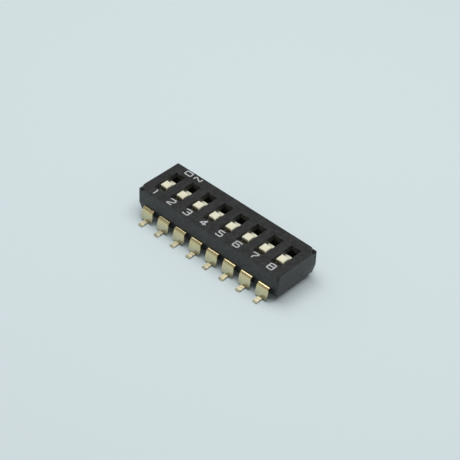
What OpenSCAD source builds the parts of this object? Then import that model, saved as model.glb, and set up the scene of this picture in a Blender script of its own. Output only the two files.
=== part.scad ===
// Eight-way slide dip switch for surface mounting, in millimetres.
// X runs along the row from position 1 to 8, Y points to the ON side, z = 0 is the board.
// The sliders stand at OFF, which is their rest.

/* [Row] */
// Distance from one position to the next
pitch = 2.54; // [2.3:0.01:3.2]
// Distance from the centre of an end position to the end of the body
end_reach = 1.84; // [1.6:0.01:2.4]

/* [Body] */
// Width of the body across the row
body_w = 6.42; // [6:0.02:7.6]
// Gap between the board and the underside of the body
stand_off = 0.6; // [0.3:0.05:0.8]
// Height of the base up to the part line
base_h = 0.95; // [0.8:0.05:1.2]
// Height of the cover
cover_h = 2.25; // [2.1:0.05:2.8]
// Height of the tapered lower part of the walls
taper_h = 1.3; // [0.6:0.05:2]
// How far the walls draw in towards the foot, on every side
base_taper = 0.27; // [0:0.01:0.4]
// Thickness of the cover's side walls
cover_wall = 0.5; // [0.4:0.02:0.55]
// Thickness of the cover's top
cover_top = 0.7; // [0.4:0.05:0.8]
// Rounding of the body's upright corners
corner_r = 0.2; // [0.05:0.05:0.4]
// Bevel round the cover's top edge
top_bevel = 0.04; // [0.02:0.01:0.15]

/* [Cut corners] */
// Two opposite corners of the cover's top are cut away: length of the cut along each edge
corner_cut = 0.95; // [0.7:0.05:1.2]
// Length of the cut's flat ledge along each edge
ledge_l = 0.62; // [0.3:0.02:0.64]
// Depth of the ledge below the top
ledge_drop = 0.2; // [0.1:0.02:0.4]

/* [Sliders] */
// Travel of a slider from OFF to ON
travel = 0.94; // [0.6:0.02:1.1]
// Width of the nub that the finger or a pen tip pushes
nub_w = 1; // [0.8:0.02:1.2]
// Length of the nub along its travel
nub_l = 1.02; // [0.8:0.02:1.2]
// How far the nub's top lies below the cover's top
nub_drop = 0.03; // [0:0.01:0.3]
// Rounding of the nub's upright edges
nub_r = 0.1; // [0.02:0.01:0.15]
// Bevel round the nub's top
nub_bevel = 0.06; // [0.01:0.01:0.1]
// Width of the slider's carriage under the cover
carriage_w = 1.7; // [1.6:0.02:1.8]
// Length of the slider's carriage along its travel
carriage_l = 2.94; // [2.8:0.02:3.2]
// Thickness of the carriage's roof above the spring
carriage_roof = 0.3; // [0.2:0.01:0.35]
// Thickness of the carriage's walls round the spring
carriage_wall = 0.27; // [0.2:0.01:0.3]

/* [Slots] */
// Side room between the nub and the slot
slot_side_room = 0.18; // [0.08:0.01:0.2]
// Room between the nub at its limit and the end of the slot
slot_end_room = 0.82; // [0.4:0.02:0.84]

/* [Terminals] */
// Thickness of the terminal strip
stock = 0.2; // [0.15:0.01:0.25]
// Width of the terminal where it shows
leg_w = 1.6; // [1.3:0.05:1.8]
// Width of the contact pad inside the body
pad_w = 1.2; // [0.8:0.05:1.25]
// Width of the foot that is soldered
foot_w = 0.6; // [0.4:0.05:1]
// Length of the straight shoulder outside the wall
shoulder_l = 0.02; // [0.02:0.01:0.3]
// Radius of the upper bend at the middle of the strip
bend_r = 0.38; // [0.16:0.01:0.45]
// Radius of the foot's bend at the middle of the strip
foot_bend_r = 0.2; // [0.16:0.01:0.3]
// Lean of the leg away from upright, in degrees
leg_lean = 12; // [2:1:20]
// Straight length of the foot
foot_l = 0.85; // [0.5:0.01:1.3]
// Height at which the wide leg narrows to the foot
neck_z = 0.28; // [0.24:0.01:0.6]
// Rounding of the leg's lower corners
leg_corner_r = 0.1; // [0.02:0.01:0.2]
// Gap between the front pad and the back pad
pad_gap = 0.5; // [0.3:0.02:0.7]

/* [Spring contacts] */
// Thickness of the spring strip
spring_t = 0.08; // [0.05:0.01:0.1]
// Width of the spring strip
spring_w = 0.7; // [0.4:0.05:0.9]
// Bend radius at the middle of the spring strip
spring_r = 0.2; // [0.12:0.01:0.22]
// Slope of the spring's arms, in degrees
spring_slope = 60; // [50:1:70]
// Straight end of the spring past its contact dimple
spring_tail = 0.12; // [0.05:0.01:0.15]

/* [Latches] */
// Radius of the snap ridge on the base's ends
ridge_r = 0.12; // [0.08:0.01:0.14]
// Length of the snap ridge
ridge_l = 3; // [1:0.1:4]
// How far the ridge stands out of the wall
ridge_out = 0.09; // [0.04:0.01:0.1]

/* [Fits] */
// Clearance between a slider and what guides it
run_gap = 0.05; // [0.03:0.01:0.08]
// Clearance between the cover and the base inside it
cover_gap = 0.05; // [0.02:0.01:0.08]
// Clearance round a terminal in the base and the cover
terminal_gap = 0.01; // [0.005:0.005:0.03]
// Clearance between a spring and what it bears on
spring_gap = 0.02; // [0.01:0.01:0.04]

/* [Hidden] */
NODES = [
    "base", "cover",
    "slider_1", "slider_2", "slider_3", "slider_4", "slider_5", "slider_6", "slider_7", "slider_8",
    "contact_1", "contact_2", "contact_3", "contact_4", "contact_5", "contact_6", "contact_7", "contact_8",
    "terminal_front_1", "terminal_front_2", "terminal_front_3", "terminal_front_4",
    "terminal_front_5", "terminal_front_6", "terminal_front_7", "terminal_front_8",
    "terminal_back_1", "terminal_back_2", "terminal_back_3", "terminal_back_4",
    "terminal_back_5", "terminal_back_6", "terminal_back_7", "terminal_back_8"
];
$fn = 48;
positions = (len(NODES) - 2) / 4;
bite = 0.01;
arc_step = 7.5;

// Heights
part_z = stand_off + base_h;
taper_z = stand_off + taper_h;
top_z = part_z + cover_h;
floor_z = part_z + stock;
ceiling_z = top_z - cover_top;
carriage_z = floor_z + run_gap;
carriage_top_z = ceiling_z - run_gap;
roof_z = carriage_top_z - carriage_roof;
nub_z = top_z - nub_drop;

// Outline of the body and of the block inside the cover
body_l = (positions - 1) * pitch + 2 * end_reach;
cavity_l = body_l - 2 * cover_wall;
cavity_w = body_w - 2 * cover_wall;
block_l = cavity_l - 2 * cover_gap;
block_w = cavity_w - 2 * cover_gap;
block_top_z = ceiling_z - cover_gap;
ridge_x = block_l / 2 + ridge_out - ridge_r;
ridge_z = (part_z + ceiling_z) / 2;

// Pockets and slots
slot_w = nub_w + 2 * slot_side_room;
slot_l = nub_l + travel + 2 * slot_end_room;
pocket_w = carriage_w + 2 * run_gap;
pocket_l = carriage_l + travel + 2 * run_gap;
rest_y = -travel / 2;

// Spring: its arms drop from the carriage's roof to the pads
recess_w = carriage_w - 2 * carriage_wall;
recess_l = carriage_l - 2 * carriage_wall;
spring_z = roof_z - spring_gap - spring_t / 2;
dimple_z = floor_z + spring_gap + spring_t / 2;
tail_angle = spring_slope / 2;
tail_reach = (spring_r + spring_t / 2) * sin(tail_angle) + spring_tail * cos(tail_angle);
dimple_y = recess_l / 2 - spring_gap - tail_reach;
// In a short carriage the arms are steeper, so that the crown keeps a flat
arm_drop = spring_z - dimple_z - 2 * spring_r;
arm_run = dimple_y - spring_t / 2;
arm_slope = max(spring_slope, atan2(arm_drop, arm_run) + asin(2 * spring_r / norm([arm_drop, arm_run])));
arm_l = (spring_z - dimple_z - 2 * spring_r * (1 - cos(arm_slope))) / sin(arm_slope);
arm_reach = 2 * spring_r * sin(arm_slope) + arm_l * cos(arm_slope);
crown_l = dimple_y - arm_reach;

// Terminals: they leave the tapered wall at the part line, and the fall of the leg sets its length
exit_y = body_w / 2 - base_taper * max(0, taper_h - base_h) / taper_h;
fall = 90 - leg_lean;
strip_z = part_z + stock / 2;
leg_l = (strip_z - stock / 2 - (bend_r + foot_bend_r) * (1 - cos(fall))) / sin(fall);
front_pad_y = dimple_y - pad_gap / 2;
back_pad_y = dimple_y + pad_gap / 2;

function position_x(i) = (i - (positions + 1) / 2) * pitch;

// A strip is drawn as it is formed: moves are straight lengths [length, 0] or bends [radius, turn].
// A pose is [y, z, heading], and a positive turn bends the strip down.
function after(pose, move) =
    move[1] == 0
        ? [pose[0] + move[0] * cos(pose[2]), pose[1] - move[0] * sin(pose[2]), pose[2]]
        : let (side = sign(move[1]), to = pose[2] + move[1])
            [pose[0] + side * move[0] * (sin(to) - sin(pose[2])),
             pose[1] + side * move[0] * (cos(to) - cos(pose[2])),
             to];
function bend_poses(pose, move) =
    let (steps = max(1, ceil(abs(move[1]) / arc_step)))
        [for (k = [1 : steps]) after(pose, [move[0], move[1] * k / steps])];
function strip_poses(moves, pose, k = 0) =
    k == len(moves)
        ? []
        : concat(moves[k][1] == 0 ? [after(pose, moves[k])] : bend_poses(pose, moves[k]),
                 strip_poses(moves, after(pose, moves[k]), k + 1));
function beside(pose, off) = [pose[0] + off * sin(pose[2]), pose[1] + off * cos(pose[2])];
function flipped(pose) = [-pose[0], pose[1], -pose[2]];
function strip_outline(poses, thick) =
    let (last = len(poses) - 1)
        concat([for (k = [0 : last]) beside(poses[k], thick / 2)],
               [for (k = [last : -1 : 0]) beside(poses[k], -thick / 2)]);

function terminal_moves(pad_y) = [
    [exit_y + shoulder_l - pad_y, 0],
    [bend_r, fall],
    [leg_l, 0],
    [foot_bend_r, -fall],
    [foot_l, 0]
];
spring_moves = [
    [crown_l, 0],
    [spring_r, arm_slope],
    [arm_l, 0],
    [spring_r, -arm_slope - tail_angle],
    [spring_tail, 0]
];

// The spring is the same on both sides of its crown
function spring_poses() =
    let (half = strip_poses(spring_moves, [0, spring_z, 0]), last = len(half) - 1)
        concat([for (k = [last : -1 : 0]) flipped(half[k])], half);

// Turns a profile drawn in y and z into a solid of the given width along X
module across(width) {
    rotate([90, 0, 90])
        translate([0, 0, -width / 2])
            linear_extrude(height = width)
                children();
}

module rounded_plate(length, width, radius) {
    translate([radius - length / 2, radius - width / 2])
        square([length - 2 * radius, width - 2 * radius]);
    for (side = [-1, 1]) {
        translate([radius - length / 2, side * (width / 2 - radius) - radius])
            square([length - 2 * radius, 2 * radius]);
        translate([side * (length / 2 - radius) - radius, radius - width / 2])
            square([2 * radius, width - 2 * radius]);
        for (end = [-1, 1])
            translate([end * (length / 2 - radius), side * (width / 2 - radius)])
                circle(r = radius);
    }
}

// Side view of a block whose top edges are bevelled
module bevelled_side(width, bottom, top, bevel) {
    polygon([
        [-width / 2, bottom], [width / 2, bottom], [width / 2, top - bevel],
        [width / 2 - bevel, top], [bevel - width / 2, top], [-width / 2, top - bevel]
    ]);
}

module bevelled_block(length, width, bottom, top, radius, bevel) {
    intersection() {
        translate([0, 0, bottom])
            linear_extrude(height = top - bottom)
                rounded_plate(length, width, radius);
        across(length) bevelled_side(width, bottom, top, bevel);
        rotate([0, 0, 90]) across(width) bevelled_side(length, bottom, top, bevel);
    }
}

// Side view of the whole housing, with its tapered walls and bevelled top edge
module housing_side(width) {
    polygon([
        [base_taper - width / 2, stand_off], [width / 2 - base_taper, stand_off], [width / 2, taper_z],
        [width / 2, top_z - top_bevel], [width / 2 - top_bevel, top_z],
        [top_bevel - width / 2, top_z], [-width / 2, top_z - top_bevel], [-width / 2, taper_z]
    ]);
}

// The stretch of the housing between two heights
module housing_block(bottom, top) {
    intersection() {
        translate([0, 0, bottom])
            linear_extrude(height = top - bottom)
                rounded_plate(body_l, body_w, corner_r);
        across(body_l) housing_side(body_w);
        rotate([0, 0, 90]) across(body_w) housing_side(body_l);
    }
}

module block_at(size, bottom) {
    translate([-size[0] / 2, -size[1] / 2, bottom]) cube(size);
}

// The stretch of strip inside the body, grown by a gap on every side
module pad_channel(pad_y, gap) {
    translate([-pad_w / 2 - gap, pad_y - gap, part_z])
        cube([pad_w + 2 * gap, body_w / 2 - pad_y + gap, stock + gap]);
}

module latch_ridges(radius, length) {
    for (side = [-1, 1])
        translate([side * ridge_x, length / 2, ridge_z])
            rotate([90, 0, 0])
                cylinder(r = radius, h = length);
}

// Cuts two opposite corners of the cover's top: a slope that ends on a flat ledge
module corner_cuts() {
    ledge_z = top_z - ledge_drop;
    for (turn = [0, 180])
        rotate([0, 0, turn])
            translate([body_l / 2, body_w / 2, 0])
                rotate([0, 0, 135])
                    across(2 * corner_cut)
                        polygon([
                            [-bite, ledge_z], [ledge_l * sqrt(0.5), ledge_z],
                            [corner_cut * sqrt(0.5), top_z], [corner_cut * sqrt(0.5), top_z + bite],
                            [-bite, top_z + bite]
                        ]);
}

module base() {
    color("#262628")
        difference() {
            union() {
                housing_block(stand_off, part_z);
                block_at([block_l, block_w, block_top_z - part_z + bite], part_z - bite);
                latch_ridges(ridge_r, ridge_l);
            }
            for (i = [1 : positions])
                translate([position_x(i), 0, 0]) {
                    block_at([pocket_w, pocket_l, top_z - floor_z], floor_z);
                    pad_channel(back_pad_y, terminal_gap);
                    mirror([0, 1, 0]) pad_channel(-front_pad_y, terminal_gap);
                }
        }
}

module cover() {
    color("#303032")
        difference() {
            housing_block(part_z, top_z);
            corner_cuts();
            block_at([cavity_l, cavity_w, ceiling_z - part_z + bite], part_z - bite);
            latch_ridges(ridge_r + cover_gap, ridge_l + 2 * cover_gap);
            for (i = [1 : positions])
                translate([position_x(i), 0, 0]) {
                    block_at([slot_w, slot_l, cover_top + 2 * bite], ceiling_z - bite);
                    block_at([leg_w + 2 * terminal_gap, body_w + 2 * bite, stock + terminal_gap + bite],
                             part_z - bite);
                }
        }
}

module slider(i) {
    color("#ece6cc")
        translate([position_x(i), rest_y, 0]) {
            difference() {
                block_at([carriage_w, carriage_l, carriage_top_z - carriage_z], carriage_z);
                block_at([recess_w, recess_l, roof_z - carriage_z + bite], carriage_z - bite);
            }
            bevelled_block(nub_w, nub_l, carriage_top_z - bite, nub_z, nub_r, nub_bevel);
        }
}

module contact(i) {
    color("#d9b65c")
        translate([position_x(i), rest_y, 0])
            across(spring_w)
                polygon(strip_outline(spring_poses(), spring_t));
}

// A terminal reaches from its pad, through the wall, down the leg to the foot
module terminal(pad_y) {
    start = [pad_y, strip_z, 0];
    outline = strip_outline(concat([start], strip_poses(terminal_moves(pad_y), start)), stock);
    wall_y = body_w / 2 - cover_wall;
    reach = wall_y + leg_l + foot_l + bend_r + foot_bend_r;
    color("#c9bd8c") {
        block_strip(outline, pad_w, pad_y, wall_y + bite, neck_z);
        intersection() {
            block_strip(outline, leg_w, wall_y, reach, neck_z);
            translate([0, reach, neck_z + leg_corner_r])
                rotate([90, 0, 0])
                    linear_extrude(height = reach)
                        leg_face();
        }
        block_strip(outline, foot_w, wall_y + bite, body_w + reach, -bite);
    }
}

// Front view of the wide leg, with its lower corners rounded
module leg_face() {
    half = leg_w / 2 - leg_corner_r;
    translate([-leg_w / 2, 0]) square([leg_w, top_z]);
    translate([-half, -leg_corner_r]) square([2 * half, top_z]);
    for (side = [-1, 1])
        translate([side * half, 0]) circle(r = leg_corner_r);
}

module block_strip(outline, width, from_y, to_y, from_z) {
    across(width)
        intersection() {
            polygon(outline);
            translate([from_y, from_z]) square([to_y - from_y, top_z]);
        }
}

module terminal_front(i) {
    translate([position_x(i), 0, 0])
        mirror([0, 1, 0]) terminal(-front_pad_y);
}

module terminal_back(i) {
    translate([position_x(i), 0, 0]) terminal(back_pad_y);
}

base();
cover();
for (i = [1 : positions]) {
    slider(i);
    contact(i);
    terminal_front(i);
    terminal_back(i);
}
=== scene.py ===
import math

import bmesh
import bpy
from bpy.props import FloatProperty, FloatVectorProperty, PointerProperty
from mathutils import Matrix, Vector
from mathutils.bvhtree import BVHTree


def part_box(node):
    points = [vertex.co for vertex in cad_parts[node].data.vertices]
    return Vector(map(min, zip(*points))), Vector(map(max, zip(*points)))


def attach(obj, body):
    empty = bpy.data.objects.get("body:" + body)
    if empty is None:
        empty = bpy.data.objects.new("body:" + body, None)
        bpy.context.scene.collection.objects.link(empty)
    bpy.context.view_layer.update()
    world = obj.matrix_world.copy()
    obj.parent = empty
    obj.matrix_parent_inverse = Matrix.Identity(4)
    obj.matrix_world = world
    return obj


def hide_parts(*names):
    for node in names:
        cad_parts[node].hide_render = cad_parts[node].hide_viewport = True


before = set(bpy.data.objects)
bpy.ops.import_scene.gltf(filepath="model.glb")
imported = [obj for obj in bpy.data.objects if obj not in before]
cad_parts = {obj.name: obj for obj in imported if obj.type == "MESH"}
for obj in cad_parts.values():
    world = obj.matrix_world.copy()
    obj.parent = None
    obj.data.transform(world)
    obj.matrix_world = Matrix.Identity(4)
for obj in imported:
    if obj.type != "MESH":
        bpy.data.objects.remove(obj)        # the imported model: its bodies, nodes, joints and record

bl_info = {
    "name": "Dip Switch",
    "version": (1, 0, 0),
    "blender": (4, 5, 0),
    "location": "View3D > Sidebar > Dip Switch",
    "description": "Housing, sliders, formed terminals and print of a slide dip switch",
    "category": "Add Mesh",
}

# The frame is in metres. Pieces are modelled in millimetres and shrunk when they are finished.
MM = 0.001
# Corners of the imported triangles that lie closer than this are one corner
MERGE_MM = 0.0004
FLAT_ANGLE = math.radians(1)
# Edges steeper than this are rounded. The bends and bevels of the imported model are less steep.
SHARP_ANGLE = math.radians(65)
# An edge is rounded only if those around it are this many times longer than the rounding is wide
ROOM = 1.5
# How far from an edge the search for a wall in front of it starts
PROBE_MM = 0.01

HOUSING = "housing"
SLIDERS = sorted(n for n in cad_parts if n.startswith("slider_"))
POSITIONS = len(SLIDERS)


def box_mm(node):
    """Lowest and highest corner of a CAD node, in millimetres."""
    low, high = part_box(node)
    return Vector(low) / MM, Vector(high) / MM


def centre_mm(node):
    """Middle of a CAD node's box, in millimetres."""
    low, high = box_mm(node)
    return (low + high) / 2


COVER_HIGH = box_mm("cover")[1]
PITCH_MM = centre_mm("slider_2").x - centre_mm("slider_1").x
FIRST_X = centre_mm("slider_1").x
# Middle and half size of the block that holds the walls of the slots, a little under the cover's face
SLOTS_MIDDLE = Vector((0, 0, COVER_HIGH.z - 0.4))
SLOTS_HALF = Vector((COVER_HIGH.x - 0.3, 2.2, 0.36))


def position_centres():
    """X of the centre of every position, in millimetres."""
    return [FIRST_X + i * PITCH_MM for i in range(POSITIONS)]


# Colours and lengths

def linear(hex_colour):
    """An sRGB hex colour as linear red, green, blue and alpha."""
    channels = [int(hex_colour[i:i + 2], 16) / 255 for i in (1, 3, 5)]
    return tuple(c / 12.92 if c <= 0.04045 else ((c + 0.055) / 1.055) ** 2.4 for c in channels) + (1,)


def colour_property(name, hex_colour, description):
    """A colour, given as sRGB hex and kept as linear values."""
    return FloatVectorProperty(name=name, description=description, subtype="COLOR", size=4,
                               min=0, max=1, default=linear(hex_colour))


def mm_property(name, value, description, least=0.0, most=100.0):
    """A length. The values given here are in millimetres."""
    return FloatProperty(name=name, description=description, default=value * MM, min=least * MM,
                         max=most * MM, precision=6, subtype="DISTANCE", unit="LENGTH")


def in_mm(settings, *names):
    """Those lengths of the settings, in millimetres."""
    return [getattr(settings, name) / MM for name in names]


# Settings

class HousingSettings(bpy.types.PropertyGroup):
    """Edges and plastic of the base and the cover"""
    edge: mm_property("Edge rounding", 0.04, "Rounding of the moulded edges", 0.005, 0.1)
    colour: colour_property("Plastic", "#121314", "Colour of the black plastic")
    light_colour: colour_property("Plastic, light grain", "#2E2F30", "Colour of the plastic's lighter grains")
    # Painted light: the walls of the slots are painted in this lighter colour
    painted_shading_colour: colour_property("Painted_shading", "#4E4F4B", "Colour of the dust on the walls of the slots")
    grit: mm_property("Texture grain", 0.13, "Size of a grain of the mould's eroded texture", 0.01, 1)


class SliderSettings(bpy.types.PropertyGroup):
    """Edges, plastic and painted shade of the sliders"""
    edge: mm_property("Edge rounding", 0.035, "Rounding of the slider's edges", 0.005, 0.1)
    colour: colour_property("Plastic", "#F2F0DB", "Colour of the cream plastic")
    shade_colour: colour_property("Plastic, shade", "#E2DFC4", "Colour where the plastic is a little darker")
    # Painted shade: the corners at the nub's two ends are painted in this dark colour
    painted_shading_colour: colour_property("Painted_shading", "#3A3A2E", "Colour of the dust in the corners at the nub's ends")
    nub_l: mm_property("Nub length", 1.02, "Length of the nub along its travel", 0.3, 3)
    nub_h: mm_property("Nub height", 0.72, "Height of the nub over its carriage", 0.3, 3)


class TerminalSettings(bpy.types.PropertyGroup):
    """Edges and plating of the terminals and the springs"""
    edge: mm_property("Edge rounding", 0.03, "Rounding of the stamped edges", 0.005, 0.08)
    spring_edge: mm_property("Spring edge rounding", 0.015, "Rounding of the springs' edges", 0.002, 0.03)
    colour: colour_property("Plating", "#BEBBA4", "Colour of the pale gold plating")
    # The random stains and the painted reflection on the upper bend take this colour
    stain_and_reflection_colour: colour_property("Plating, deep", "#DFD09F", "Colour of the plating where it is thicker")
    grain: mm_property("Rolling lines", 0.05, "Spacing of the strip's rolling lines", 0.01, 1)


class PrintSettings(bpy.types.PropertyGroup):
    """Sizes, places and ink of the print on the cover"""
    stroke: mm_property("Stroke", 0.17, "Width of a printed stroke", 0.05, 0.4)
    corner: mm_property("Corner radius", 0.13, "Radius of the strokes' corners", 0.01, 0.4)
    ink: mm_property("Ink", 0.006, "Thickness of the ink", 0.002, 0.03)
    digit_w: mm_property("Digit width", 0.9, "Width of a digit", 0.3, 2)
    digit_h: mm_property("Digit height", 1.04, "Height of a digit", 0.3, 2)
    digit_x: mm_property("Digit shift", 0.08, "Shift of the digits along the row", -1, 1)
    digit_y: mm_property("Digit place", -2.36, "Middle of the digits across the row", -3, 3)
    word_w: mm_property("Letter width", 1.08, "Width of a letter", 0.3, 2)
    word_h: mm_property("Letter height", 0.76, "Height of a letter", 0.3, 2)
    word_x: mm_property("Word place along the row", -8.42, "Middle of the first letter", -12, 12)
    word_y: mm_property("Word place across the row", 2.66, "Middle of the letters across the row", -3, 3)
    word_step: mm_property("Letter step", 1.46, "Distance from one letter to the next", 0.5, 3)
    colour: colour_property("Ink colour", "#CCCDCF", "Colour of the printed ink")
    thin_colour: colour_property("Ink colour, thin", "#5A5A5B", "Colour where the ink is thin")


class StageSettings(bpy.types.PropertyGroup):
    """Floor and light"""
    floor: colour_property("Floor", "#DBE8EB", "Colour of the floor")
    key_power: FloatProperty(name="Key lamp", description="Power of the soft lamp overhead", default=0.57,
                             min=0, subtype="POWER")
    ambient: FloatProperty(name="Ambient", description="Strength of the room's light low at the front left",
                           default=0.5, min=0)
    far_ambient: FloatProperty(name="Far ambient", description="Strength of the room's light from elsewhere",
                               default=0.25, min=0)


# Nodes

def add(tree, kind, inputs=None, **settings):
    """Adds a node, sets it, and fills its inputs with values or links."""
    node = tree.nodes.new(kind)
    for name, value in settings.items():
        setattr(node, name, value)
    for key, value in (inputs or {}).items():
        if isinstance(value, bpy.types.NodeSocket):
            tree.links.new(value, node.inputs[key])
        else:
            node.inputs[key].default_value = value
    return node


def material_tree(name):
    """A new material and its empty node tree."""
    material = bpy.data.materials.new(name)
    material.use_nodes = True
    material.node_tree.nodes.clear()
    return material, material.node_tree


def mixed_colour(tree, factor, first, second):
    """A socket that runs from one colour to another as the factor goes from 0 to 1."""
    return add(tree, "ShaderNodeMix", {0: factor, 6: first, 7: second}, data_type="RGBA").outputs[2]


def per_metre(size_mm):
    """Pattern scale that gives a feature of this size on Object coordinates."""
    return 1 / (size_mm * MM)


# Materials

# Depth under the slots' edge at which the painted light on their walls is full
PAINTED_WALL_LIGHT_MM = 0.08
# Painted shade covers the corner at a nub's end up to the first distance from it, and is gone at the second
PAINTED_CORNER_SHADE_MM = (0.36, 0.68)
# Heights between which a terminal's colour turns towards the painted reflection, from the leg to the upper
# bend
PAINTED_REFLECTION_MM = (0.6, 1.5)
# Heights between which the dull foot turns into the brighter leg
BRIGHTENING_MM = (0.22, 0.5)
# Height that only the foot stays under, where its curve starts and ends from the middle, and its rise
FOOT_TOP_MM = 0.23
FOOT_CURVE_MM = (3.8, 4.85)
FOOT_RISE_MM = 0.115


def moulded_black_plastic(settings):
    """Glass-filled black thermoplastic from an eroded mould: matte, with a fine even grain that
    spreads the light into a soft grey sheen."""
    material, tree = material_tree("moulded_black_plastic")
    place = add(tree, "ShaderNodeTexCoord").outputs["Object"]
    grain = add(tree, "ShaderNodeTexNoise", {"Vector": place, "Scale": 1 / settings.grit, "Detail": 3})
    # Faint clouding from the flow of the melt, under a millimetre across
    flow = add(tree, "ShaderNodeTexNoise", {"Vector": place, "Scale": per_metre(0.5), "Detail": 3})
    both = add(tree, "ShaderNodeMath", {0: grain.outputs["Fac"], 1: flow.outputs["Fac"]}, operation="ADD")
    spread = add(tree, "ShaderNodeMapRange", {"Value": both.outputs[0], "From Min": 0.8, "From Max": 1.2})
    clean = mixed_colour(tree, spread.outputs[0], settings.colour, settings.light_colour)
    # Painted light: a lighter colour on the walls of the slots stands in for the light that reaches into them
    from_middle = add(tree, "ShaderNodeVectorMath", {0: place, 1: SLOTS_MIDDLE * MM}, operation="SUBTRACT")
    aside = add(tree, "ShaderNodeVectorMath", {0: from_middle.outputs[0]}, operation="ABSOLUTE")
    past = add(tree, "ShaderNodeVectorMath", {0: aside.outputs[0], 1: SLOTS_HALF * MM}, operation="SUBTRACT")
    parts = add(tree, "ShaderNodeSeparateXYZ", {"Vector": past.outputs[0]}).outputs
    level = add(tree, "ShaderNodeMath", {0: parts["X"], 1: parts["Y"]}, operation="MAXIMUM")
    outside = add(tree, "ShaderNodeMath", {0: level.outputs[0], 1: parts["Z"]}, operation="MAXIMUM")
    painted_wall_light = add(tree, "ShaderNodeMapRange", {"Value": outside.outputs[0], "From Min": -PAINTED_WALL_LIGHT_MM * MM,
                                             "From Max": 0, "To Min": 0.85, "To Max": 0})
    colour = mixed_colour(tree, painted_wall_light.outputs[0], clean, settings.painted_shading_colour)
    rough = add(tree, "ShaderNodeMapRange", {"Value": grain.outputs["Fac"], "To Min": 0.3, "To Max": 0.46})
    bump = add(tree, "ShaderNodeBump", {"Height": grain.outputs["Fac"], "Strength": 0.5,
                                        "Distance": 0.02 * MM})
    shader = add(tree, "ShaderNodeBsdfPrincipled", {
        "Base Color": colour, "Roughness": rough.outputs[0], "Normal": bump.outputs[0],
        "IOR": 1.55, "Specular IOR Level": 0.38})
    add(tree, "ShaderNodeOutputMaterial", {"Surface": shader.outputs[0]})
    return material


def moulded_cream_plastic(settings, middle_y, top_z):
    """Unfilled cream thermoplastic from a polished mould: satin, and a little light passes into it. Shade is
    painted dark into the corners at the nub's two ends. The nub's middle and top are in millimetres."""
    material, tree = material_tree("moulded_cream_plastic")
    coordinates = add(tree, "ShaderNodeTexCoord").outputs
    place = coordinates["Object"]
    cloud = add(tree, "ShaderNodeTexNoise", {"Vector": place, "Scale": per_metre(0.8), "Detail": 3})
    grain = add(tree, "ShaderNodeTexNoise", {"Vector": place, "Scale": per_metre(0.08), "Detail": 2})
    clean = mixed_colour(tree, cloud.outputs["Fac"], settings.colour, settings.shade_colour)
    # Painted shade: distance from the corner where the nub meets the carriage
    parts = add(tree, "ShaderNodeSeparateXYZ", {"Vector": place}).outputs
    along = add(tree, "ShaderNodeMath", {0: parts["Y"], 1: middle_y * MM}, operation="SUBTRACT")
    aside = add(tree, "ShaderNodeMath", {0: along.outputs[0]}, operation="ABSOLUTE")
    past = add(tree, "ShaderNodeMapRange", {"Value": aside.outputs[0], "From Min": settings.nub_l / 2,
                                            "From Max": settings.nub_l / 2 + 1 * MM, "To Max": 1 * MM})
    above = add(tree, "ShaderNodeMath", {0: parts["Z"], 1: top_z * MM - settings.nub_h}, operation="SUBTRACT")
    apart = add(tree, "ShaderNodeCombineXYZ", {"Y": past.outputs[0], "Z": above.outputs[0]})
    reach = add(tree, "ShaderNodeVectorMath", {0: apart.outputs[0]}, operation="LENGTH")
    near = add(tree, "ShaderNodeMapRange", {"Value": reach.outputs["Value"],
                                            "From Min": PAINTED_CORNER_SHADE_MM[0] * MM,
                                            "From Max": PAINTED_CORNER_SHADE_MM[1] * MM, "To Min": 0.9, "To Max": 0},
               interpolation_type="SMOOTHSTEP")
    # The painted shade leaves the nub's two long sides out
    turned = add(tree, "ShaderNodeSeparateXYZ", {"Vector": coordinates["Normal"]}).outputs["X"]
    sideways = add(tree, "ShaderNodeMath", {0: turned}, operation="ABSOLUTE")
    endways = add(tree, "ShaderNodeMath", {0: 1.0, 1: sideways.outputs[0]}, operation="SUBTRACT",
                  use_clamp=True)
    painted_shading = add(tree, "ShaderNodeMath", {0: near.outputs[0], 1: endways.outputs[0]}, operation="MULTIPLY")
    # Painted shade: the corners at the nub's ends take the dark colour
    colour = mixed_colour(tree, painted_shading.outputs[0], clean, settings.painted_shading_colour)
    rough = add(tree, "ShaderNodeMapRange", {"Value": grain.outputs["Fac"], "To Min": 0.34, "To Max": 0.48})
    bump = add(tree, "ShaderNodeBump", {"Height": grain.outputs["Fac"], "Strength": 0.2,
                                        "Distance": 0.006 * MM})
    shader = add(tree, "ShaderNodeBsdfPrincipled", {
        "Base Color": colour, "Roughness": rough.outputs[0], "Normal": bump.outputs[0],
        "IOR": 1.48, "Subsurface Weight": 0.8, "Subsurface Radius": (1.0, 0.95, 0.8),
        "Subsurface Scale": 0.3 * MM})
    add(tree, "ShaderNodeOutputMaterial", {"Surface": shader.outputs[0]})
    return material


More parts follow.
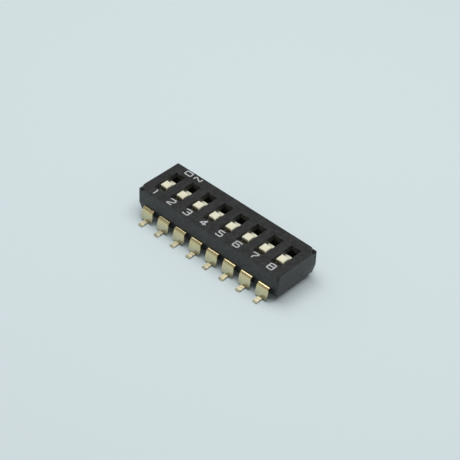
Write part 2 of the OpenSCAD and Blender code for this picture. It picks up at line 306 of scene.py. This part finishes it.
def gold_plated_strip(name, settings):
    """Rolled copper alloy strip with a thin pale gold plating: a soft metal sheen, drawn out along the
    strip by its fine rolling lines."""
    material, tree = material_tree(name)
    place = add(tree, "ShaderNodeTexCoord").outputs["Object"]
    # Rolling lines: close together across the strip and long down the leg
    stretched = add(tree, "ShaderNodeMapping", {"Vector": place, "Scale": (1, 0.06, 0.06)})
    lines = add(tree, "ShaderNodeTexNoise", {"Vector": stretched.outputs[0], "Scale": 1 / settings.grain,
                                             "Detail": 3})
    stain = add(tree, "ShaderNodeTexNoise", {"Vector": place, "Scale": per_metre(0.5), "Detail": 4})
    parts = add(tree, "ShaderNodeSeparateXYZ", {"Vector": place}).outputs
    height = parts["Z"]
    # A painted reflection: the colour turns warmer and brighter towards the upper bend, mixed with random
    # stains, and the foot is dull from the forming tool
    painted_reflection = add(tree, "ShaderNodeMapRange", {"Value": height, "From Min": PAINTED_REFLECTION_MM[0] * MM,
                                             "From Max": PAINTED_REFLECTION_MM[1] * MM, "To Min": -0.25,
                                             "To Max": 0.4})
    depth = add(tree, "ShaderNodeMath", {0: painted_reflection.outputs[0], 1: stain.outputs["Fac"]}, operation="ADD",
                use_clamp=True)
    colour = mixed_colour(tree, depth.outputs[0], settings.colour, settings.stain_and_reflection_colour)
    dull = add(tree, "ShaderNodeMapRange", {"Value": height, "From Min": BRIGHTENING_MM[0] * MM,
                                            "From Max": BRIGHTENING_MM[1] * MM, "To Min": 0.27,
                                            "To Max": 0.15})
    rough = add(tree, "ShaderNodeMath", {0: lines.outputs["Fac"], 1: 0.1, 2: dull.outputs[0]},
                operation="MULTIPLY_ADD")
    # The foot's top runs up to the heel in a soft curve
    outward = add(tree, "ShaderNodeMath", {0: parts["Y"]}, operation="ABSOLUTE")
    near_heel = add(tree, "ShaderNodeMapRange", {"Value": outward.outputs[0],
                                                 "From Min": FOOT_CURVE_MM[0] * MM,
                                                 "From Max": FOOT_CURVE_MM[1] * MM, "To Min": 1, "To Max": 0},
                    interpolation_type="SMOOTHSTEP")
    on_foot = add(tree, "ShaderNodeMath", {0: height, 1: FOOT_TOP_MM * MM}, operation="LESS_THAN")
    heel = add(tree, "ShaderNodeMath", {0: near_heel.outputs[0], 1: on_foot.outputs[0]}, operation="MULTIPLY")
    curved = add(tree, "ShaderNodeBump", {"Height": heel.outputs[0], "Strength": 1.0,
                                          "Distance": FOOT_RISE_MM * MM})
    bump = add(tree, "ShaderNodeBump", {"Height": lines.outputs["Fac"], "Strength": 0.25,
                                        "Distance": 0.004 * MM, "Normal": curved.outputs[0]})
    shader = add(tree, "ShaderNodeBsdfPrincipled", {
        "Base Color": colour, "Roughness": rough.outputs[0], "Normal": bump.outputs[0],
        "Metallic": 1})
    add(tree, "ShaderNodeOutputMaterial", {"Surface": shader.outputs[0]})
    return material


def pad_printed_ink(settings):
    """Pad-printed epoxy ink: pale grey, flat, and thin enough that the plastic's grain shows through."""
    material, tree = material_tree("pad_printed_ink")
    place = add(tree, "ShaderNodeTexCoord").outputs["Object"]
    cover = add(tree, "ShaderNodeTexNoise", {"Vector": place, "Scale": per_metre(0.12), "Detail": 3})
    thin = add(tree, "ShaderNodeMapRange", {"Value": cover.outputs["Fac"], "From Min": 0.3, "From Max": 0.7,
                                            "To Min": 0.72, "To Max": 1.0})
    colour = mixed_colour(tree, thin.outputs[0], settings.thin_colour, settings.colour)
    bump = add(tree, "ShaderNodeBump", {"Height": cover.outputs["Fac"], "Strength": 0.3,
                                        "Distance": 0.006 * MM})
    shader = add(tree, "ShaderNodeBsdfPrincipled", {
        "Base Color": colour, "Roughness": 0.6, "Normal": bump.outputs[0]})
    add(tree, "ShaderNodeOutputMaterial", {"Surface": shader.outputs[0]})
    return material


# Pieces

def new_object(name, data):
    """An object in the scene that holds the data."""
    piece = bpy.data.objects.new(name, data)
    bpy.context.scene.collection.objects.link(piece)
    return piece


def merged_copy(node, name, cuts=()):
    """A copy of a CAD node in millimetres, with its triangles joined into whole flat faces. The cuts
    across X divide faces with openings in them, so that every face is a plain polygon."""
    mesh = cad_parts[node].data.copy()
    mesh.materials.clear()
    mesh.transform(Matrix.Scale(1 / MM, 4))
    work = bmesh.new()
    work.from_mesh(mesh)
    bmesh.ops.remove_doubles(work, verts=work.verts, dist=MERGE_MM)
    for x in cuts:
        everything = [*work.verts, *work.edges, *work.faces]
        cut = bmesh.ops.bisect_plane(work, geom=everything, plane_co=(x, 0, 0), plane_no=(1, 0, 0))
        for part in cut["geom_cut"]:
            if isinstance(part, bmesh.types.BMEdge):
                part.seam = True
    bmesh.ops.dissolve_limit(work, angle_limit=FLAT_ANGLE, verts=work.verts, edges=work.edges,
                             delimit={"SEAM"})
    work.to_mesh(mesh)
    work.free()
    return new_object(name, mesh)


def is_roomy(edge, width):
    """Whether an edge and those that meet it are long enough for a rounding of that width."""
    around = {other for vert in edge.verts for other in vert.link_edges}
    return min(other.calc_length() for other in around) > ROOM * width


def round_edges(piece, width, segments=3, pockets=True):
    """Rounds the steep edges. In a piece with pockets, the edges inside them stay sharp."""
    work = bmesh.new()
    work.from_mesh(piece.data)
    shape = BVHTree.FromBMesh(work)
    weight = work.edges.layers.float.new("bevel_weight_edge")
    for edge in work.edges:
        if edge.calc_face_angle() < SHARP_ANGLE:
            continue
        normals = [face.normal for face in edge.link_faces]
        outward = (normals[0] + normals[1]).normalized()
        start = (edge.verts[0].co + edge.verts[1].co) / 2 + outward * PROBE_MM
        hidden = pockets and any(shape.ray_cast(start, way)[0] for way in (*normals, outward))
        if hidden or not is_roomy(edge, width):
            edge.smooth = False
        else:
            edge[weight] = 1
    for face in work.faces:
        face.smooth = True
    work.to_mesh(piece.data)
    work.free()
    bevel = piece.modifiers.new("edges", "BEVEL")
    bevel.width = width
    bevel.segments = segments
    bevel.limit_method = "WEIGHT"
    bevel.miter_outer = "MITER_ARC"
    shading = piece.modifiers.new("shading", "WEIGHTED_NORMAL")
    shading.weight = 100
    shading.keep_sharp = True


def apply_modifiers(piece):
    """Turns what the modifiers make into the piece's own mesh."""
    graph = bpy.context.evaluated_depsgraph_get()
    mesh = bpy.data.meshes.new_from_object(piece.evaluated_get(graph))
    piece.modifiers.clear()
    piece.data = mesh


def finish_piece(piece, body, material, replaced=()):
    """Turns a piece into a plain mesh in metres, and seats it in the frame."""
    apply_modifiers(piece)
    piece.data.transform(Matrix.Scale(MM, 4))
    piece.data.materials.clear()
    piece.data.materials.append(material)
    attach(piece, body)
    if replaced:
        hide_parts(*replaced)


def settings_of(name):
    """The scene's settings for one group of pieces."""
    return getattr(bpy.context.scene, "dip_" + name)


def black_plastic():
    """The housing's plastic, made on first use."""
    return bpy.data.materials.get("moulded_black_plastic") or moulded_black_plastic(settings_of("housing"))


def housing_moulding(node):
    """One half of the housing, rounded and finished."""
    piece = merged_copy(node, node + "_moulding", position_centres())
    round_edges(piece, settings_of("housing").edge / MM)
    finish_piece(piece, HOUSING, black_plastic(), [node])


class DipBase(bpy.types.Operator):
    """Base moulding that holds the terminals and the pockets"""
    bl_idname = "dip_switch.base"
    bl_label = "Base"

    def execute(self, context):
        housing_moulding("base")
        return {"FINISHED"}


class DipCover(bpy.types.Operator):
    """Cover moulding with its slots"""
    bl_idname = "dip_switch.cover"
    bl_label = "Cover"

    def execute(self, context):
        housing_moulding("cover")
        return {"FINISHED"}


class DipSliders(bpy.types.Operator):
    """Cream sliders, one on each moving body"""
    bl_idname = "dip_switch.sliders"
    bl_label = "Sliders"

    def execute(self, context):
        settings = settings_of("slider")
        low, high = box_mm(SLIDERS[0])
        material = moulded_cream_plastic(settings, (low.y + high.y) / 2, high.z)
        for node in SLIDERS:
            piece = merged_copy(node, node + "_moulding", [centre_mm(node).x])
            round_edges(piece, settings.edge / MM)
            finish_piece(piece, node.replace("slider", "switch"), material, [node])
        return {"FINISHED"}


def row_tree():
    """Geometry Nodes that repeat one terminal along the row."""
    tree = bpy.data.node_groups.new("terminal_row", "GeometryNodeTree")
    face = tree.interface
    face.new_socket("Terminal", in_out="INPUT", socket_type="NodeSocketGeometry")
    face.new_socket("Count", in_out="INPUT", socket_type="NodeSocketInt")
    face.new_socket("Pitch", in_out="INPUT", socket_type="NodeSocketFloat")
    face.new_socket("Plating", in_out="INPUT", socket_type="NodeSocketMaterial")
    face.new_socket("Row", in_out="OUTPUT", socket_type="NodeSocketGeometry")
    given = add(tree, "NodeGroupInput").outputs
    step = add(tree, "ShaderNodeCombineXYZ", {"X": given["Pitch"]})
    points = add(tree, "GeometryNodeMeshLine", {"Count": given["Count"], "Offset": step.outputs[0]})
    copies = add(tree, "GeometryNodeInstanceOnPoints", {"Points": points.outputs[0],
                                                        "Instance": given["Terminal"]})
    solid = add(tree, "GeometryNodeRealizeInstances", {"Geometry": copies.outputs[0]})
    plated = add(tree, "GeometryNodeSetMaterial", {"Geometry": solid.outputs[0],
                                                   "Material": given["Plating"]})
    add(tree, "NodeGroupOutput", {"Row": plated.outputs[0]})
    return tree


def give_inputs(modifier, values):
    """Sets a Geometry Nodes modifier's inputs by their sockets' identifiers."""
    for item in modifier.node_group.interface.items_tree:
        if item.in_out == "INPUT" and item.name in values:
            modifier[item.identifier] = values[item.name]


class DipTerminals(bpy.types.Operator):
    """Front and back rows of formed terminals"""
    bl_idname = "dip_switch.terminals"
    bl_label = "Terminals"

    def execute(self, context):
        settings = settings_of("terminal")
        material = gold_plated_strip("gold_plated_terminal", settings)
        tree = row_tree()
        for side in ("front", "back"):
            nodes = [f"terminal_{side}_{i + 1}" for i in range(POSITIONS)]
            piece = merged_copy(nodes[0], f"terminals_{side}")
            round_edges(piece, settings.edge / MM, 2, pockets=False)
            apply_modifiers(piece)
            row = piece.modifiers.new("row", "NODES")
            row.node_group = tree
            give_inputs(row, {"Count": POSITIONS, "Pitch": PITCH_MM, "Plating": material})
            finish_piece(piece, HOUSING, material, nodes)
        return {"FINISHED"}


class DipContacts(bpy.types.Operator):
    """Plating of the spring contacts under the sliders"""
    bl_idname = "dip_switch.contacts"
    bl_label = "Spring contacts"

    def execute(self, context):
        settings = settings_of("terminal")
        material = gold_plated_strip("gold_plated_spring", settings)
        for i in range(POSITIONS):
            node = f"contact_{i + 1}"
            piece = merged_copy(node, node + "_spring")
            round_edges(piece, settings.spring_edge / MM, 2, pockets=False)
            finish_piece(piece, f"switch_{i + 1}", material, [node])
        return {"FINISHED"}


# Where two strokes of a glyph cross, the later one lies this much higher, so that no faces coincide
LAYER_MM = 0.001
# Strokes of the print, each a line in a unit box, and whether its ends meet
GLYPHS = {
    "1": [([(0.34, 0.84), (0.56, 1), (0.56, 0)], False)],
    "2": [([(0, 0.82), (0, 1), (1, 1), (1, 0.56), (0, 0.12), (0, 0), (1, 0)], False)],
    "3": [([(0, 0.84), (0, 1), (1, 1), (1, 0), (0, 0), (0, 0.16)], False),
          ([(0.35, 0.52), (1, 0.52)], False)],
    "4": [([(0.68, 0.06), (0.68, 1.06)], False), ([(0.7, 1.02), (0, 0.3)], False),
          ([(-0.05, 0.3), (1.1, 0.3)], False)],
    "5": [([(0.95, 1), (0.04, 1), (0.04, 0.56), (1, 0.56), (1, 0), (0, 0), (0, 0.16)], False)],
    "6": [([(1, 0.86), (1, 1), (0, 1), (0, 0), (1, 0), (1, 0.54), (0, 0.54)], False)],
    "7": [([(0, 0.86), (0, 1), (1, 1), (1, 0.84), (0.42, 0.34), (0.42, 0)], False)],
    "8": [([(0, 0), (0, 1), (1, 1), (1, 0)], True), ([(0, 0.52), (1, 0.52)], False)],
    "O": [([(0, 0), (0, 1), (1, 1), (1, 0)], True)],
    "N": [([(0, 0), (0, 1), (1, 0), (1, 1)], False)],
}


def draw_glyph(curve, glyph, centre, size):
    """Adds a glyph's strokes to a curve, fitted to a box of that size."""
    for layer, (points, closed) in enumerate(GLYPHS[glyph]):
        spline = curve.splines.new("POLY")
        spline.points.add(len(points) - 1)
        spline.use_cyclic_u = closed
        for point, (u, v) in zip(spline.points, points):
            x = centre[0] + (u - 0.5) * size[0]
            y = centre[1] + (v - 0.5) * size[1]
            point.co = (x, y, layer * LAYER_MM, 1)


def print_tree():
    """Geometry Nodes that turn stroke lines into flat ink with rounded corners."""
    tree = bpy.data.node_groups.new("printed_strokes", "GeometryNodeTree")
    face = tree.interface
    face.new_socket("Lines", in_out="INPUT", socket_type="NodeSocketGeometry")
    for name in ("Stroke", "Corner", "Ink"):
        face.new_socket(name, in_out="INPUT", socket_type="NodeSocketFloat")
    face.new_socket("Material", in_out="INPUT", socket_type="NodeSocketMaterial")
    face.new_socket("Print", in_out="OUTPUT", socket_type="NodeSocketGeometry")
    given = add(tree, "NodeGroupInput").outputs
    rounded = add(tree, "GeometryNodeFilletCurve", {"Curve": given["Lines"], "Radius": given["Corner"],
                                                    "Count": 6, "Limit Radius": True}, mode="POLY")
    upright = add(tree, "GeometryNodeSetCurveNormal", {"Curve": rounded.outputs[0]}, mode="Z_UP")
    nib = add(tree, "GeometryNodeCurvePrimitiveQuadrilateral", {"Width": given["Stroke"],
                                                                "Height": given["Ink"]})
    strokes = add(tree, "GeometryNodeCurveToMesh", {"Curve": upright.outputs[0],
                                                    "Profile Curve": nib.outputs[0], "Fill Caps": True})
    solid = add(tree, "GeometryNodeRealizeInstances", {"Geometry": strokes.outputs[0]})
    inked = add(tree, "GeometryNodeSetMaterial", {"Geometry": solid.outputs[0],
                                                  "Material": given["Material"]})
    add(tree, "NodeGroupOutput", {"Print": inked.outputs[0]})
    return tree


class DipPrint(bpy.types.Operator):
    """Position numbers and the word ON, printed on the cover"""
    bl_idname = "dip_switch.print"
    bl_label = "Print"

    def execute(self, context):
        settings = settings_of("print")
        curve = bpy.data.curves.new("cover_print", "CURVE")
        curve.dimensions = "3D"
        stroke, corner, depth = in_mm(settings, "stroke", "corner", "ink")
        digit_w, digit_h, digit_x, digit_y = in_mm(settings, "digit_w", "digit_h", "digit_x", "digit_y")
        word_w, word_h, word_x, word_y = in_mm(settings, "word_w", "word_h", "word_x", "word_y")
        step = settings.word_step / MM
        for i, x in enumerate(position_centres()):
            draw_glyph(curve, str(i + 1), (x + digit_x, digit_y), (digit_w - stroke, digit_h - stroke))
        for i, glyph in enumerate("ON"):
            draw_glyph(curve, glyph, (word_x + i * step, word_y), (word_w - stroke, word_h - stroke))
        lines = new_object("cover_print_lines", curve)
        material = pad_printed_ink(settings)
        ink = lines.modifiers.new("ink", "NODES")
        ink.node_group = print_tree()
        give_inputs(ink, {"Stroke": stroke, "Corner": corner, "Ink": depth, "Material": material})
        graph = bpy.context.evaluated_depsgraph_get()
        mesh = bpy.data.meshes.new_from_object(lines.evaluated_get(graph))
        bpy.data.objects.remove(lines)
        piece = new_object("cover_print", mesh)
        piece.data.transform(Matrix.Translation((0, 0, COVER_HIGH.z + depth / 2)))
        finish_piece(piece, HOUSING, material)
        return {"FINISHED"}


# Stage

# The photograph's camera, worked out from the ruled lines that the switch stands on
CAMERA_AZIMUTH = math.radians(41.62)
CAMERA_ELEVATION = math.radians(40.78)
CAMERA_ROLL = math.radians(2.66)
CAMERA_DISTANCE = 170.95 * MM
CAMERA_AIM = Vector((-0.258, 1.022, 1.257)) * MM
LENS = 118.2
SENSOR = 36.0
# A soft box over the switch, a little behind it, in metres. The photograph's shadows gave its place.
KEY_PLACE = (-0.01, 0.03, 0.26)
KEY_SIZE = (0.3, 0.19)
# The room is brighter low at the front left
LIT_SIDE = (-0.6, -0.3, -0.74)
# The floor ends past the distance where it has faded out, and lies just under the feet
FLOOR_RADIUS = 300 * MM
FLOOR_FADE = (80 * MM, 240 * MM)
FLOOR_DROP = 0.002 * MM


def facing(direction):
    """A turn that points an object's -Z axis along a direction and holds its Y axis up."""
    return direction.to_track_quat("-Z", "Y").to_matrix().to_4x4()


def make_camera():
    """The camera at the photograph's angle."""
    back = Vector((math.sin(CAMERA_AZIMUTH) * math.cos(CAMERA_ELEVATION),
                   -math.cos(CAMERA_AZIMUTH) * math.cos(CAMERA_ELEVATION),
                   math.sin(CAMERA_ELEVATION)))
    data = bpy.data.cameras.new("camera")
    data.lens = LENS
    data.sensor_width = SENSOR
    data.clip_start = 1 * MM
    camera = new_object("camera", data)
    place = Matrix.Translation(CAMERA_AIM + back * CAMERA_DISTANCE)
    camera.matrix_world = place @ facing(-back) @ Matrix.Rotation(CAMERA_ROLL, 4, "Z")
    bpy.context.scene.camera = camera


def make_lamp(name, place, size, power):
    """A soft box of that length and width that faces the switch. A place is in metres."""
    data = bpy.data.lights.new(name, "AREA")
    data.shape = "RECTANGLE"
    data.size, data.size_y = size
    data.energy = power
    lamp = new_object(name, data)
    place = Vector(place)
    lamp.matrix_world = Matrix.Translation(place) @ facing(-place)


def make_floor(colour):
    """A matt paper floor that fades into the background past the lamp's reach."""
    material, tree = material_tree("matt_paper_floor")
    shader = add(tree, "ShaderNodeBsdfPrincipled", {"Base Color": colour, "Roughness": 0.9,
                                                    "Specular IOR Level": 0.2})
    place = add(tree, "ShaderNodeTexCoord").outputs["Object"]
    away = add(tree, "ShaderNodeVectorMath", {0: place}, operation="LENGTH")
    fade = add(tree, "ShaderNodeMapRange", {"Value": away.outputs["Value"], "From Min": FLOOR_FADE[0],
                                            "From Max": FLOOR_FADE[1]}, interpolation_type="SMOOTHSTEP")
    clear = add(tree, "ShaderNodeBsdfTransparent")
    mixed = add(tree, "ShaderNodeMixShader", {0: fade.outputs[0], 1: shader.outputs[0], 2: clear.outputs[0]})
    add(tree, "ShaderNodeOutputMaterial", {"Surface": mixed.outputs[0]})
    mesh = bpy.data.meshes.new("floor")
    work = bmesh.new()
    bmesh.ops.create_circle(work, cap_ends=True, segments=96, radius=FLOOR_RADIUS)
    work.to_mesh(mesh)
    work.free()
    mesh.transform(Matrix.Translation((0, 0, -FLOOR_DROP)))
    mesh.materials.append(material)
    new_object("floor", mesh)


def make_world(colour, near, far):
    """Soft light from all round, stronger on the lit side. The camera sees the plain colour."""
    world = bpy.data.worlds.new("studio")
    bpy.context.scene.world = world
    world.use_nodes = True
    tree = world.node_tree
    tree.nodes.clear()
    seen = add(tree, "ShaderNodeLightPath").outputs
    direct = add(tree, "ShaderNodeMath", {0: seen["Is Camera Ray"], 1: seen["Is Transmission Ray"]},
                 operation="ADD", use_clamp=True)
    shown = add(tree, "ShaderNodeBackground", {"Color": colour, "Strength": 1.0})
    way = add(tree, "ShaderNodeTexCoord").outputs["Generated"]
    along = add(tree, "ShaderNodeVectorMath", {0: way, 1: LIT_SIDE}, operation="DOT_PRODUCT")
    strength = add(tree, "ShaderNodeMapRange", {"Value": along.outputs["Value"], "From Min": -0.2,
                                                "From Max": 0.4, "To Min": far, "To Max": near})
    light = add(tree, "ShaderNodeBackground", {"Color": (1, 1, 1, 1), "Strength": strength.outputs[0]})
    mixed = add(tree, "ShaderNodeMixShader", {0: direct.outputs[0], 1: light.outputs[0], 2: shown.outputs[0]})
    add(tree, "ShaderNodeOutputWorld", {"Surface": mixed.outputs[0]})


class DipStage(bpy.types.Operator):
    """Floor, lamp, world and camera"""
    bl_idname = "dip_switch.stage"
    bl_label = "Stage"

    def execute(self, context):
        settings = settings_of("stage")
        make_camera()
        make_floor(settings.floor)
        make_lamp("key_lamp", KEY_PLACE, KEY_SIZE, settings.key_power)
        make_world(settings.floor, settings.ambient, settings.far_ambient)
        context.scene.view_settings.view_transform = "Standard"
        return {"FINISHED"}


class DipPanel(bpy.types.Panel):
    """The switch's pieces"""
    bl_idname = "VIEW3D_PT_dip_switch"
    bl_label = "Dip Switch"
    bl_space_type = "VIEW_3D"
    bl_region_type = "UI"
    bl_category = "Dip Switch"

    def draw(self, context):
        for group, operators in PANEL_ROWS:
            box = self.layout.box()
            settings = settings_of(group)
            for name in settings.__annotations__:
                box.prop(settings, name)
            for operator in operators:
                box.operator(operator.bl_idname)


SETTINGS = {"housing": HousingSettings, "slider": SliderSettings, "terminal": TerminalSettings,
            "print": PrintSettings, "stage": StageSettings}
PANEL_ROWS = [("housing", (DipBase, DipCover)), ("slider", (DipSliders,)),
              ("terminal", (DipTerminals, DipContacts)), ("print", (DipPrint,)), ("stage", (DipStage,))]
OPERATORS = [operator for _, operators in PANEL_ROWS for operator in operators]
CLASSES = [*SETTINGS.values(), *OPERATORS, DipPanel]


def register():
    for each in CLASSES:
        bpy.utils.register_class(each)
    for name, group in SETTINGS.items():
        setattr(bpy.types.Scene, "dip_" + name, PointerProperty(type=group))


def unregister():
    for name in SETTINGS:
        delattr(bpy.types.Scene, "dip_" + name)
    for each in reversed(CLASSES):
        bpy.utils.unregister_class(each)


def main():
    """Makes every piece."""
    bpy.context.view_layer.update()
    register()
    bpy.ops.dip_switch.stage()
    bpy.ops.dip_switch.base()
    bpy.ops.dip_switch.cover()
    bpy.ops.dip_switch.sliders()
    bpy.ops.dip_switch.terminals()
    bpy.ops.dip_switch.contacts()
    bpy.ops.dip_switch.print()


if __name__ == "__main__":
    main()
